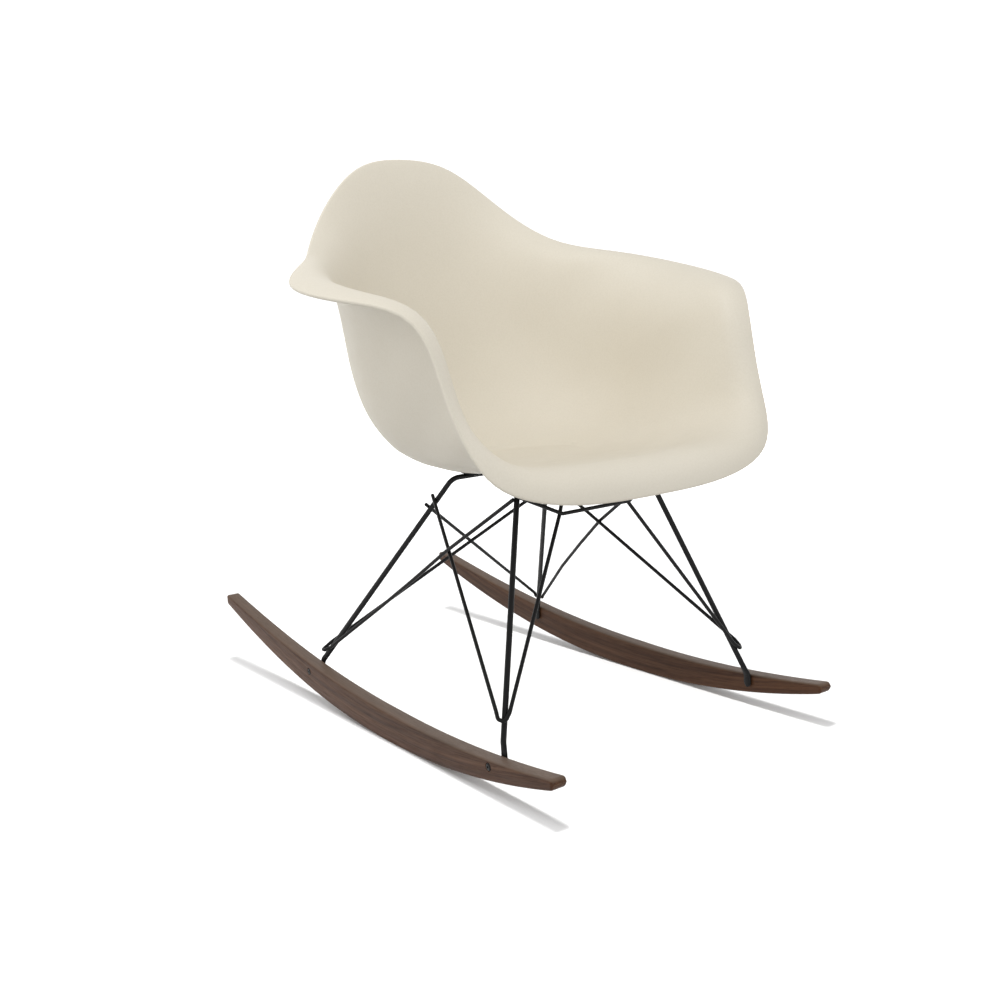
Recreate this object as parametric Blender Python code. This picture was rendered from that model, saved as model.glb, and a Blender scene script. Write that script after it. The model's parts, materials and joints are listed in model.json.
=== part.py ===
"""Rocking armchair: a moulded plastic bucket on a bent-wire base with two wooden rockers.

Metres, +Z up. The chair faces -Y and is symmetric about X = 0. The origin is on the floor,
under the middle of the chair's bounding box.
"""

import math

import bmesh
import bpy
import numpy as np
from mathutils import Vector

GAP = 0.0003  # left between pieces that touch
CUTTER_BEYOND = 0.010  # how far a cutting shape runs past what it cuts
MOST_BENT = 0.45  # the largest share of a straight run that one bend may take up

# Rockers: two upright curved bars, flat sides facing left and right.
ROCKER_LENGTH = 0.866
ROCKER_OUTER_X = 0.2220
ROCKER_WIDTH = 0.0210
ROCKER_RADIUS = 1.333
ROCKER_RADIUS_FRONT = 1.245  # ahead of the contact
ROCKER_EASE = 0.100  # how much the underside flattens towards the rear tip, times distance^4
ROCKER_DEPTH = 0.0392
ROCKER_DEPTH_SLOPE = 0.032
ROCKER_DEPTH_TAPER = 0.143
ROCKER_EDGE = 0.0025
ROCKER_TOE = 0.008  # how far the two rockers draw together towards the rear, per metre
CONTACT_Y = -0.098  # where the rockers touch the floor
CONTACT_HALF = 0.010
ROCKER_STEPS = 34
ROCKER_TIP = ((0.0, 0.0045), (0.0012, 0.0022), (0.0035, 0.0007), (0.0070, 0.0))  # rounding, from the end
ROCKER_TIP_LENGTH = 0.028

# Wire base: thick leg rods and thin bracing wires. Points are for the left side, +X.
LEG_RADIUS = 0.0035
WIRE_RADIUS = 0.0021
LEG_BEND = 0.014
BESIDE_LEG = LEG_RADIUS + WIRE_RADIUS + GAP  # between a leg's middle and a wire's beside it
FOOT_HALF_THICK = 0.0018
FOOT_HALF_WIDE = 0.0058
FOOT_CLEAR = 0.0002  # more than the gap, because the rockers draw together
FOOT_END = 0.0085  # the foot ends this far below its screw
FOOT_FLAT = 0.0100  # the foot is flat this far above its screw
FOOT_BLEND = 0.0120  # and round again this much higher
FRONT_SCREW = (-0.3140, 0.0345)  # Y and Z of the leg screws
REAR_SCREW = (0.1400, 0.0445)
FRONT_LEG_LOW = (0.1955, -0.3090, 0.0560)
FRONT_LEG_TOP = (0.1028, -0.2375, 0.3245)
REAR_LEG_LOW = (0.1945, 0.1360, 0.0590)
REAR_LEG_TOP = (0.0800, -0.0615, 0.3235)
FRONT_LEG = (FRONT_LEG_LOW, FRONT_LEG_TOP)
REAR_LEG = (REAR_LEG_LOW, REAR_LEG_TOP)

# Bracing wires. Hooks list offsets from the leg's middle: outward, backward, rise.
HOOK_BEND = 0.0045
FRONT_HOOK_Z = 0.0800
FRONT_HOOK = (
    (0.0102, 0.0030, 0.0060), (0.0097, -0.0010, -0.0020), (0.0035, -0.0072, -0.0040),
    (-0.0022, -0.0064, 0.0060),
)
REAR_HOOK_Z = 0.0730
REAR_HOOK = (
    (-0.0020, 0.0085, 0.0070), (0.0010, 0.0095, -0.0020), (0.0080, 0.0055, -0.0040),
    (0.0085, 0.0010, -0.0010), (0.0062, -0.0025, 0.0060),
)
ARM_BEYOND = 0.008  # how far an arm runs on past the leg that it crosses
LEFT_ACROSS = (0.2810, (0, 1, 0), ARM_BEYOND)  # height at the far leg, its face, run past it
RIGHT_ACROSS = (0.2920, (0, -1, 0), 0.003)
FRONT_ARM_END_Z = 0.2940
FRONT_ARM_BAR_END = (0.0345, FRONT_LEG_TOP[1] - BESIDE_LEG * 1.02, FRONT_LEG_TOP[2] + 0.0015)
REAR_ARM_BOW = ((0.1590, 0.0201, 0.1489), (0.1423, -0.0471, 0.1954), (0.1297, -0.1091, 0.2382))
REAR_ARM_END_Z = 0.3140
REAR_ARM_BEYOND = 0.002
CROSSBAR_BEND = (0.0540, -0.2598, 0.2925)
CROSSBAR_END_Z = 0.3170
CROSSBAR_BEYOND = 0.006
CROSSBAR_CORNER = 0.007

# Mounts between the base and the seat.
TAB_HALF_X = 0.0125
TAB_THICK = 0.0022
TAB_LONG = 0.026
TAB_BEHIND = 0.005  # how far a tab reaches behind the middle of its bar
TAB_CORNER = 0.004
SCREW_FROM_BAR = 0.0135
MOUNT_X = 0.050
MOUNT_RADIUS = 0.0105
MOUNT_THICK = 0.0050
MOUNT_EDGE = 0.0006
BOSS_RADIUS = 0.0115
BOSS_TOPS = {"front": 0.3446, "rear": 0.3414}  # heights inside the shell's thickness
BOSS_HOLE_DEPTH = 0.0055
SHELL_SCREW_RADIUS = 0.0024
SHELL_HEAD_RADIUS = 0.0046
SHELL_HEAD_HIGH = 0.0026
SHELL_SCREW_SHORT = 0.0015  # left free above the screw in its blind hole

# Leg screws.
LEG_SCREW_RADIUS = 0.0022
LEG_HEAD_RADIUS = 0.0045
LEG_HEAD_SINK = 0.0025
LEG_HEAD_PROUD = 0.0006
SOCKET_RADIUS = 0.0014
SOCKET_DEPTH = 0.0016

# Seat shell. Each station runs from the seat's floor out to the rim, on the outer (lower) skin.
SHELL_THICK = 0.0050
SHELL_AROUND = 24  # mesh strips between the front centre and the back centre, per side
SHELL_OUT = 12  # mesh strips between the seat's floor and the rim
SHELL_STATIONS = (
    # front centre, where the lip hangs lowest
    ((0.000, -0.165, 0.337), (0.000, -0.235, 0.342), (0.000, -0.295, 0.350), (0.000, -0.334, 0.353),
     (0.000, -0.353, 0.346), (0.000, -0.363, 0.335), (0.000, -0.367, 0.320)),
    ((0.048, -0.162, 0.337), (0.072, -0.230, 0.343), (0.093, -0.290, 0.352), (0.104, -0.330, 0.356),
     (0.109, -0.350, 0.350), (0.111, -0.360, 0.339), (0.111, -0.364, 0.324)),
    ((0.082, -0.147, 0.338), (0.119, -0.212, 0.346), (0.151, -0.272, 0.359), (0.170, -0.313, 0.368),
     (0.178, -0.335, 0.366), (0.182, -0.348, 0.356), (0.183, -0.354, 0.340)),
    # corner of the seat, where the lip turns up into the arm
    ((0.102, -0.127, 0.339), (0.146, -0.185, 0.351), (0.181, -0.240, 0.375), (0.201, -0.286, 0.396),
     (0.210, -0.313, 0.401), (0.216, -0.328, 0.392), (0.220, -0.337, 0.371)),
    ((0.110, -0.112, 0.340), (0.155, -0.150, 0.356), (0.190, -0.198, 0.392), (0.207, -0.242, 0.430),
     (0.216, -0.278, 0.449), (0.226, -0.297, 0.453), (0.239, -0.305, 0.448)),
    # front corner of the arm
    ((0.112, -0.098, 0.341), (0.160, -0.125, 0.360), (0.200, -0.155, 0.412), (0.214, -0.188, 0.468),
     (0.225, -0.237, 0.518), (0.241, -0.264, 0.536), (0.259, -0.271, 0.534)),
    ((0.112, -0.085, 0.341), (0.160, -0.105, 0.361), (0.201, -0.120, 0.414), (0.213, -0.140, 0.478),
     (0.235, -0.190, 0.542), (0.270, -0.210, 0.562), (0.299, -0.213, 0.557)),
    # arm at its widest
    ((0.108, -0.068, 0.341), (0.155, -0.078, 0.361), (0.198, -0.078, 0.416), (0.212, -0.085, 0.486),
     (0.239, -0.102, 0.562), (0.281, -0.116, 0.585), (0.315, -0.120, 0.579)),
    ((0.098, -0.048, 0.341), (0.141, -0.047, 0.361), (0.182, -0.028, 0.418), (0.197, -0.022, 0.490),
     (0.212, -0.020, 0.577), (0.235, -0.029, 0.607), (0.257, -0.034, 0.607)),
    # shoulder, where the arm turns up into the back
    ((0.081, -0.030, 0.340), (0.117, -0.015, 0.361), (0.153, 0.016, 0.418), (0.167, 0.035, 0.495),
     (0.176, 0.036, 0.584), (0.191, 0.043, 0.621), (0.205, 0.049, 0.631)),
    ((0.058, -0.015, 0.340), (0.084, 0.012, 0.360), (0.108, 0.058, 0.418), (0.118, 0.084, 0.500),
     (0.126, 0.092, 0.610), (0.137, 0.106, 0.671), (0.145, 0.112, 0.689)),
    ((0.030, -0.006, 0.339), (0.044, 0.031, 0.360), (0.057, 0.085, 0.418), (0.063, 0.112, 0.505),
     (0.069, 0.123, 0.625), (0.073, 0.132, 0.722), (0.0755, 0.137, 0.745)),
    # top of the back
    ((0.000, -0.003, 0.339), (0.000, 0.037, 0.360), (0.000, 0.094, 0.418), (0.000, 0.1215, 0.505),
     (0.000, 0.134, 0.630), (0.000, 0.139, 0.738), (0.000, 0.144, 0.759)),
)


def clear_scene():
    for obj in list(bpy.data.objects):
        bpy.data.objects.remove(obj, do_unlink=True)


def material(name, color, roughness, metallic=0.0):
    found = bpy.data.materials.get(name)
    if found:
        return found
    made = bpy.data.materials.new(name)
    made.use_nodes = True
    shader = made.node_tree.nodes["Principled BSDF"]
    shader.inputs["Base Color"].default_value = (*color, 1.0)
    shader.inputs["Roughness"].default_value = roughness
    shader.inputs["Metallic"].default_value = metallic
    made.diffuse_color = (*color, 1.0)
    return made


def cream_plastic():
    return material("cream_plastic", (0.72, 0.67, 0.57), 0.45)


def black_coating():
    return material("black_coating", (0.02, 0.02, 0.022), 0.45)


def black_steel():
    return material("black_steel", (0.05, 0.05, 0.055), 0.35, 0.8)


def walnut():
    return material("walnut", (0.16, 0.085, 0.05), 0.5)


def rubber():
    return material("rubber", (0.03, 0.03, 0.03), 0.8)


def add_object(name, bm, finish, smooth_below=40.0):
    bmesh.ops.recalc_face_normals(bm, faces=bm.faces[:])
    mesh = bpy.data.meshes.new(name)
    bm.to_mesh(mesh)
    bm.free()
    mesh.shade_smooth()
    mesh.set_sharp_from_angle(angle=math.radians(smooth_below))
    mesh.materials.append(finish)
    obj = bpy.data.objects.new(name, mesh)
    bpy.context.scene.collection.objects.link(obj)
    return obj


def loft(rings):
    """A closed solid through rings of equal length, each a list of points in order."""
    bm = bmesh.new()
    loops = [[bm.verts.new(point) for point in ring] for ring in rings]
    count = len(loops[0])
    for low, high in zip(loops, loops[1:]):
        for i in range(count):
            j = (i + 1) % count
            bm.faces.new((low[i], low[j], high[j], high[i]))
    bm.faces.new(loops[0][::-1])
    bm.faces.new(loops[-1])
    return bm


def cylinder(radius, start, end, sides=20):
    """A closed cylinder between two points."""
    axis = (Vector(end) - Vector(start)).normalized()
    side = axis.orthogonal().normalized()
    other = axis.cross(side)
    turns = [2 * math.pi * i / sides for i in range(sides)]
    return loft([
        [Vector(centre) + radius * (side * math.cos(t) + other * math.sin(t)) for t in turns]
        for centre in (start, end)
    ])


def turned(profile, start, axis, sides=20):
    """A solid turned about an axis: profile gives (distance along it, radius) pairs."""
    axis = Vector(axis).normalized()
    side = axis.orthogonal().normalized()
    other = axis.cross(side)
    turns = [2 * math.pi * i / sides for i in range(sides)]
    return loft([
        [Vector(start) + axis * along + radius * (side * math.cos(t) + other * math.sin(t))
         for t in turns]
        for along, radius in profile
    ])


def cut(obj, cutter_mesh, name, operation="DIFFERENCE"):
    """Cuts a closed shape out of an object, or joins it on."""
    cutter = add_object(name, cutter_mesh, obj.data.materials[0])
    cutter.hide_render = True
    cutter.display_type = "WIRE"
    boolean = obj.modifiers.new(name, "BOOLEAN")
    boolean.object = cutter
    boolean.operation = operation
    boolean.solver = "EXACT"


def rounded_path(corners, radius, steps=5):
    """The corner points of a bent rod, with each inner corner replaced by an arc."""
    corners = [Vector(corner) for corner in corners]
    path = [corners[0]]
    for before, corner, after in zip(corners, corners[1:], corners[2:]):
        back, ahead = (before - corner).normalized(), (after - corner).normalized()
        half = back.angle(ahead) / 2
        reach = min(radius / math.tan(half), MOST_BENT * (before - corner).length,
                    MOST_BENT * (after - corner).length)
        bend = reach * math.tan(half)
        centre = corner + (back + ahead).normalized() * (bend / math.sin(half))
        start, end = corner + back * reach - centre, corner + ahead * reach - centre
        sweep = start.angle(end)
        for i in range(steps + 1):
            turn = sweep * i / steps
            path.append(centre + (start * math.sin(sweep - turn) + end * math.sin(turn))
                        / math.sin(sweep))
    path.append(corners[-1])
    return path


def swept_rings(path, half_sizes, sides, across=Vector((1, 0, 0))):
    """Rings along a path. half_sizes gives each ring's half width across and along the bend."""
    rings = []
    for i, point in enumerate(path):
        ahead = path[min(i + 1, len(path) - 1)] - path[max(i - 1, 0)]
        ahead.normalize()
        across = (across - ahead * across.dot(ahead)).normalized()
        other = ahead.cross(across)
        wide, deep = half_sizes(i)
        rings.append([
            point + across * wide * math.cos(turn) + other * deep * math.sin(turn)
            for turn in (2 * math.pi * (k + 0.5) / sides for k in range(sides))
        ])
    return rings


def make_wire(name, corners, bend, sides=10):
    path = rounded_path(corners, bend)
    start = path[1] - path[0]
    rings = swept_rings(path, lambda i: (WIRE_RADIUS, WIRE_RADIUS), sides, start.orthogonal())
    add_object(name, loft(rings), black_coating())


# ---- rockers


def rocker_outer(y):
    """X of the rocker's outer face."""
    return ROCKER_OUTER_X - ROCKER_TOE * (y - FRONT_SCREW[0])


def rocker_underside(y):
    away = max(abs(y - CONTACT_Y) - CONTACT_HALF, 0.0)
    if y < CONTACT_Y:
        return away**2 / (2 * ROCKER_RADIUS_FRONT)
    return away**2 / (2 * ROCKER_RADIUS) - ROCKER_EASE * away**4


def rocker_depth(y):
    away = y - CONTACT_Y
    return ROCKER_DEPTH + ROCKER_DEPTH_SLOPE * away - ROCKER_DEPTH_TAPER * away**2


def rocker_section(y, inset):
    """The bar's cross-section with eased edges, an octagon pulled in by inset at the tips."""
    low, high = rocker_underside(y) + inset, rocker_underside(y) + rocker_depth(y) - inset
    left, right = rocker_outer(y) - ROCKER_WIDTH + inset, rocker_outer(y) - inset
    edge = ROCKER_EDGE
    return [
        (left + edge, y, low), (right - edge, y, low), (right, y, low + edge),
        (right, y, high - edge), (right - edge, y, high), (left + edge, y, high),
        (left, y, high - edge), (left, y, low + edge),
    ]


def make_rocker(name, side):
    half, straight = ROCKER_LENGTH / 2, ROCKER_LENGTH / 2 - ROCKER_TIP_LENGTH
    stations = [(-half + along, inset) for along, inset in ROCKER_TIP]
    for start, end in ((-straight, CONTACT_Y - CONTACT_HALF), (CONTACT_Y + CONTACT_HALF, straight)):
        steps = round(ROCKER_STEPS * (end - start) / ROCKER_LENGTH)
        stations += [(float(y), 0.0) for y in np.linspace(start, end, steps)]
    stations += [(half - along, inset) for along, inset in ROCKER_TIP[::-1]]
    rings = [[(side * x, y, z) for x, y, z in rocker_section(*station)] for station in stations]
    rocker = add_object(name, loft(rings), walnut(), 30.0)
    for place, (y, z) in (("front", FRONT_SCREW), ("rear", REAR_SCREW)):
        inner = rocker_outer(y) - ROCKER_WIDTH - CUTTER_BEYOND
        outer = rocker_outer(y) + CUTTER_BEYOND
        sink = rocker_outer(y) - LEG_HEAD_SINK
        hole = cylinder(LEG_SCREW_RADIUS + GAP, (side * inner, y, z), (side * outer, y, z))
        cut(rocker, hole, f"{name}_{place}_hole")
        seat = cylinder(LEG_HEAD_RADIUS + GAP, (side * sink, y, z), (side * outer, y, z))
        cut(rocker, seat, f"{name}_{place}_sink")


def make_leg_screw(name, side, y, z):
    """A button-headed screw that passes through the rocker into the leg's flattened foot."""
    head_top = rocker_outer(y) + LEG_HEAD_PROUD
    length = head_top - (rocker_outer(y) - ROCKER_WIDTH - GAP - 2 * FOOT_HALF_THICK)
    under = head_top - (rocker_outer(y) - LEG_HEAD_SINK + GAP)
    profile = (
        (0.0, LEG_HEAD_RADIUS * 0.62), (0.0006, LEG_HEAD_RADIUS * 0.92), (0.0013, LEG_HEAD_RADIUS),
        (under, LEG_HEAD_RADIUS), (under, LEG_SCREW_RADIUS), (length, LEG_SCREW_RADIUS),
    )
    bm = turned(profile, (side * head_top, y, z), (-side, 0, 0))
    screw = add_object(name, bm, black_steel(), 50.0)
    socket_end = (side * (head_top - SOCKET_DEPTH), y, z)
    socket = cylinder(SOCKET_RADIUS, (side * (head_top + CUTTER_BEYOND), y, z), socket_end, 6)
    cut(screw, socket, f"{name}_socket")


# ---- wire base


def make_leg_rod(name, screw, low, top):
    """One bent rod: an inverted U whose two feet are flattened against the rockers."""
    y, z = screw
    foot_x = rocker_outer(y) - ROCKER_WIDTH - GAP - FOOT_HALF_THICK - FOOT_CLEAR
    half = [(foot_x, y, z - FOOT_END), (foot_x, y, z + FOOT_END), low, top]
    left = rounded_path([*half, (0.0, top[1], top[2])], LEG_BEND)
    right = [Vector((-point.x, point.y, point.z)) for point in left[:-1]]
    path = left[:-1] + right[::-1]
    heights = [point.z for point in path]

    def sizes(i):
        blend = min(max((heights[i] - z - FOOT_FLAT) / FOOT_BLEND, 0.0), 1.0)
        return (FOOT_HALF_THICK + (LEG_RADIUS - FOOT_HALF_THICK) * blend,
                FOOT_HALF_WIDE + (LEG_RADIUS - FOOT_HALF_WIDE) * blend)

    rod = add_object(name, loft(swept_rings(path, sizes, 12)), black_coating())
    for side in (-1, 1):
        start, end = [(side * (foot_x + way * CUTTER_BEYOND), y, z) for way in (-1, 1)]
        cut(rod, cylinder(LEG_SCREW_RADIUS + GAP, start, end), f"{name}_hole_{side}")


def mirrored(point, side):
    return Vector((side * point[0], point[1], point[2]))


def on_leg(leg, z):
    """The point of a leg's centre line at height z. A leg is its (low, top) end points."""
    low, top = leg
    share = (z - low[2]) / (top[2] - low[2])
    return Vector((low[0] + share * (top[0] - low[0]), low[1] + share * (top[1] - low[1]), z))


def round_leg(leg, z, offsets):
    """Points of a wire hooked round a leg near height z, from (outward, backward, rise) offsets."""
    along = (Vector(leg[1]) - Vector(leg[0])).normalized()
    outward = (Vector((1, 0, 0)) - along * along.x).normalized()
    backward = along.cross(outward)
    return [
        on_leg(leg, z + rise) + outward * out + backward * back for out, back, rise in offsets
    ]


def past_leg(start, leg, z, towards, beyond):
    """The end of an arm that runs from start past a leg, touching the side that faces towards."""
    aim = on_leg(leg, z) - start
    beside = (Vector(leg[1]) - Vector(leg[0])).cross(aim).normalized()
    if beside.dot(Vector(towards)) < 0:
        beside.negate()
    end = on_leg(leg, z) + beside * BESIDE_LEG
    return end + (end - start).normalized() * beyond


def make_rear_brace(name, side):
    """Hooked round the outer rear of a rear leg, with one arm to the front leg and one across."""
    hook = round_leg(REAR_LEG, REAR_HOOK_Z, REAR_HOOK)
    # The two arms that cross under the seat end at different heights, on opposite faces.
    height, face, beyond = LEFT_ACROSS if side > 0 else RIGHT_ACROSS
    far_leg = [mirrored(end, -1) for end in REAR_LEG]
    across_end = past_leg(hook[0], far_leg, height, face, beyond)
    bow = [Vector(point) for point in REAR_ARM_BOW]
    front_end = past_leg(bow[-1], FRONT_LEG, REAR_ARM_END_Z, (1, 0, 0), REAR_ARM_BEYOND)
    corners = [mirrored(point, side) for point in (across_end, *hook, *bow, front_end)]
    make_wire(name, corners, HOOK_BEND)


def make_front_brace(name, side):
    """Hooked round the outer front of a front leg, with an arm to the rear leg and one to the bar."""
    hook = round_leg(FRONT_LEG, FRONT_HOOK_Z, FRONT_HOOK)
    rear_end = past_leg(hook[0], REAR_LEG, FRONT_ARM_END_Z, (1, 0, 0), ARM_BEYOND)
    beside_crossbar = Vector(CROSSBAR_BEND) + Vector((0, 2 * WIRE_RADIUS + 2 * GAP, 0))
    corners = [rear_end, *hook, beside_crossbar, FRONT_ARM_BAR_END]
    make_wire(name, [mirrored(point, side) for point in corners], HOOK_BEND)


def make_crossbar():
    """The thin trapezoid that hangs in front of the front legs, under their top bar."""
    end = past_leg(Vector(CROSSBAR_BEND), FRONT_LEG, CROSSBAR_END_Z, (0, -1, 0), CROSSBAR_BEYOND)
    corners = [end, CROSSBAR_BEND, mirrored(CROSSBAR_BEND, -1), mirrored(end, -1)]
    make_wire("front_crossbar", corners, CROSSBAR_CORNER)


# ---- mounts


def make_tab(name, x, bar_y, bar_z, way):
    """A flat steel tab welded on top of a bar, with a hole for the shell screw."""
    low = bar_z + LEG_RADIUS + GAP
    near, far = bar_y - way * TAB_BEHIND, bar_y + way * (TAB_LONG - TAB_BEHIND)
    outline = [
        (x - TAB_HALF_X, near), (x + TAB_HALF_X, near), (x + TAB_HALF_X, far - way * TAB_CORNER),
        (x + TAB_HALF_X - TAB_CORNER, far), (x - TAB_HALF_X + TAB_CORNER, far),
        (x - TAB_HALF_X, far - way * TAB_CORNER),
    ]
    rings = [[(px, py, z) for px, py in outline] for z in (low, low + TAB_THICK)]
    tab = add_object(name, loft(rings), black_coating(), 30.0)
    hole_y = bar_y + way * SCREW_FROM_BAR
    start, end = (x, hole_y, low - CUTTER_BEYOND), (x, hole_y, low + CUTTER_BEYOND)
    hole = cylinder(SHELL_SCREW_RADIUS + GAP, start, end)
    cut(tab, hole, f"{name}_hole")
    return low


def make_mount(name, x, y, low):
    """A rubber disc between tab and shell, with a hole for the screw."""
    profile = (
        (0.0, MOUNT_RADIUS - MOUNT_EDGE), (MOUNT_EDGE, MOUNT_RADIUS),
        (MOUNT_THICK - MOUNT_EDGE, MOUNT_RADIUS), (MOUNT_THICK, MOUNT_RADIUS - MOUNT_EDGE),
    )
    mount = add_object(name, turned(profile, (x, y, low), (0, 0, 1), 24), rubber())
    start, end = (x, y, low - CUTTER_BEYOND), (x, y, low + MOUNT_THICK + CUTTER_BEYOND)
    hole = cylinder(SHELL_SCREW_RADIUS + GAP, start, end)
    cut(mount, hole, f"{name}_hole")
    return low + MOUNT_THICK + GAP


def make_shell_screw(name, x, y, tab_low, boss_low):
    start = tab_low - GAP - SHELL_HEAD_HIGH
    length = boss_low + BOSS_HOLE_DEPTH - SHELL_SCREW_SHORT - start
    profile = (
        (0.0, SHELL_HEAD_RADIUS * 0.74), (0.0007, SHELL_HEAD_RADIUS),
        (SHELL_HEAD_HIGH, SHELL_HEAD_RADIUS), (SHELL_HEAD_HIGH, SHELL_SCREW_RADIUS),
        (length, SHELL_SCREW_RADIUS),
    )
    screw = add_object(name, turned(profile, (x, y, start), (0, 0, 1)), black_steel(), 50.0)
    socket_start, socket_end = (x, y, start - CUTTER_BEYOND), (x, y, start + SOCKET_DEPTH)
    cut(screw, cylinder(SOCKET_RADIUS, socket_start, socket_end, 6), f"{name}_socket")


# ---- seat shell


def spline(points, spots, at):
    """A natural cubic spline through points at the given spots, read at the places in at."""
    points, spots, at = np.asarray(points, float), np.asarray(spots, float), np.asarray(at, float)
    steps = np.diff(spots)
    count = len(spots)
    system = np.eye(count)
    right = np.zeros_like(points)
    for i in range(1, count - 1):
        system[i, i - 1 : i + 2] = steps[i - 1], 2 * (steps[i - 1] + steps[i]), steps[i]
        right[i] = 6 * ((points[i + 1] - points[i]) / steps[i] - (points[i] - points[i - 1]) / steps[i - 1])
    bends = np.linalg.solve(system, right)
    i = np.clip(np.searchsorted(spots, at, side="right") - 1, 0, count - 2)
    width = steps[i][:, None]
    a = (spots[i + 1][:, None] - at[:, None]) / width
    b = 1 - a
    return (a * points[i] + b * points[i + 1]
            + ((a**3 - a) * bends[i] + (b**3 - b) * bends[i + 1]) * width**2 / 6)


def spaced(points):
    """Distances along a row of points."""
    return np.concatenate([[0.0], np.cumsum(np.linalg.norm(np.diff(points, axis=0), axis=1))])


def shell_grid(around, out):
    """The shell's skin as rows of points: grid[i][j] is row i out from the floor, column j around."""
    half = np.array(SHELL_STATIONS)
    mirrored = half[-2:0:-1] * (-1, 1, 1)
    ring = np.concatenate([half, mirrored])
    rows = len(half[0])
    wrap = 4
    wrapped = np.concatenate([ring[-wrap:], ring, ring[: wrap + 1]])
    middle = np.mean([spaced(wrapped[:, row]) for row in range(rows)], axis=0)
    start, end = middle[wrap], middle[wrap + len(ring)]
    turn_points = start + (end - start) * np.arange(2 * around) / (2 * around)
    columns = np.stack([spline(wrapped[:, row], middle, turn_points) for row in range(rows)])
    grid = []
    for column in range(2 * around):
        line = columns[:, column]
        spots = spaced(line)
        grid.append(spline(line, spots, np.linspace(0, spots[-1], out + 1)))
    return np.array(grid).transpose(1, 0, 2)


def shell_surface(around, out):
    """A bmesh of the skin: a square patch of quads inside the first ring, then strips to the rim."""
    grid = shell_grid(around, out)
    bm = bmesh.new()
    rows = [[bm.verts.new(point) for point in row] for row in grid]
    count = len(rows[0])
    for low, high in zip(rows, rows[1:]):
        for i in range(count):
            j = (i + 1) % count
            bm.faces.new((low[i], low[j], high[j], high[i]))
    # The patch inside the first ring has the ring as its border, a quarter of it on each side.
    side = count // 4
    ring = rows[0]
    border = {}
    for k in range(side):
        border[k, 0] = ring[k]
        border[side, k] = ring[side + k]
        border[side - k, side] = ring[2 * side + k]
        border[0, side - k] = ring[3 * side + k]
    for u in range(1, side):
        for v in range(1, side):
            a, b = u / side, v / side
            co = ((1 - b) * border[u, 0].co + b * border[u, side].co
                  + (1 - a) * border[0, v].co + a * border[side, v].co
                  - (1 - a) * (1 - b) * border[0, 0].co - a * (1 - b) * border[side, 0].co
                  - (1 - a) * b * border[0, side].co - a * b * border[side, side].co)
            border[u, v] = bm.verts.new(co)
    for u in range(side):
        for v in range(side):
            bm.faces.new((border[u, v], border[u, v + 1], border[u + 1, v + 1], border[u + 1, v]))
    return bm


def make_shell():
    shell = add_object("seat_shell", shell_surface(SHELL_AROUND, SHELL_OUT), cream_plastic(), 60.0)
    thick = shell.modifiers.new("thickness", "SOLIDIFY")
    thick.thickness = SHELL_THICK
    thick.offset = 1.0  # the skin drawn by the stations is the outer, lower one
    return shell


def add_boss(shell, name, x, y, low, top):
    """A round boss under the seat, moulded with it, with a blind hole for the screw."""
    cut(shell, cylinder(BOSS_RADIUS, (x, y, low), (x, y, top), 24), f"{name}_solid", "UNION")
    start, end = (x, y, low - CUTTER_BEYOND), (x, y, low + BOSS_HOLE_DEPTH)
    cut(shell, cylinder(SHELL_SCREW_RADIUS + GAP, start, end), f"{name}_hole")


def main():
    clear_scene()
    shell = make_shell()
    for side, word in ((-1, "right"), (1, "left")):
        make_rocker(f"rocker_{word}", side)
        make_leg_screw(f"leg_screw_front_{word}", side, *FRONT_SCREW)
        make_leg_screw(f"leg_screw_rear_{word}", side, *REAR_SCREW)
        make_rear_brace(f"rear_brace_{word}", side)
        make_front_brace(f"front_brace_{word}", side)
        for place, bar, way in (("front", FRONT_LEG_TOP, 1), ("rear", REAR_LEG_TOP, -1)):
            x, y = side * MOUNT_X, bar[1] + way * SCREW_FROM_BAR
            tab_low = make_tab(f"mounting_tab_{place}_{word}", x, bar[1], bar[2], way)
            mount_low = tab_low + TAB_THICK + GAP
            boss_low = make_mount(f"shock_mount_{place}_{word}", x, y, mount_low)
            make_shell_screw(f"shell_screw_{place}_{word}", x, y, tab_low, boss_low)
            add_boss(shell, f"boss_{place}_{word}", x, y, boss_low, BOSS_TOPS[place])
    make_leg_rod("leg_rod_front", FRONT_SCREW, FRONT_LEG_LOW, FRONT_LEG_TOP)
    make_leg_rod("leg_rod_rear", REAR_SCREW, REAR_LEG_LOW, REAR_LEG_TOP)
    make_crossbar()


main()
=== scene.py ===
import json
import math

import bmesh
import bpy
import numpy as np
from mathutils import Matrix, Vector

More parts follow.
